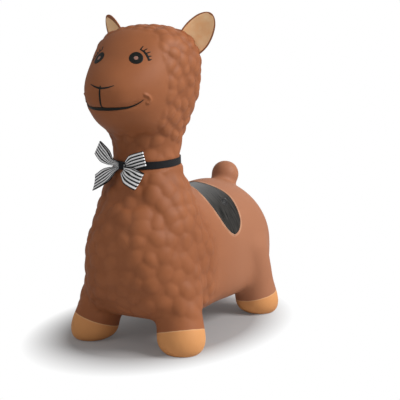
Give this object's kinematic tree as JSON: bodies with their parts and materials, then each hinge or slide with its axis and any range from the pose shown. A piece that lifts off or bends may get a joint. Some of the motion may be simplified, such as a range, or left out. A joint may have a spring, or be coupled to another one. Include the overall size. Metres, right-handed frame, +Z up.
{
  "type": "bouncy ride on animal",
  "caption": "Inflatable ride-on hopper shaped as a woolly long-necked animal, with a painted saddle, an air valve with its plug, and a ribbon bow on a neck band.",
  "frame": {"origin": "centre of the toy's outline at floor level, under the middle of the body", "axes": "+Z up, -Y the way the animal faces, +X the animal's left side"},
  "size_m": [0.2606, 0.4855, 0.5571],
  "materials": {
    "skin": "matte brown soft skin with fine wool relief, tan hooves and ear insides, semi-gloss dark painted saddle",
    "valve": "smooth dark soft plastic",
    "ribbon": "black woven ribbon, with white lengthwise stripes on the bow"
  },
  "bodies": {
    "toy": {"body_skin": "skin", "valve_body": "valve"},
    "plug": {"valve_plug": "valve"},
    "neckwear": {"neck_band": "ribbon", "bow_ribbon_back": "ribbon", "bow_ribbon_front": "ribbon", "bow_knot": "ribbon"}
  },
  "joints": [
    {"name": "plug_pull", "type": "slide", "parent": "toy", "child": "plug", "axis": [0.7406, -0.0882, 0.6661], "range_m": [0, 0.016]},
    {"name": "neckwear_turn", "type": "hinge", "parent": "toy", "child": "neckwear", "pos_m": [0, -0.108, 0.3115], "axis": [0, -0.0663, 0.9978], "continuous": true}
  ]
}
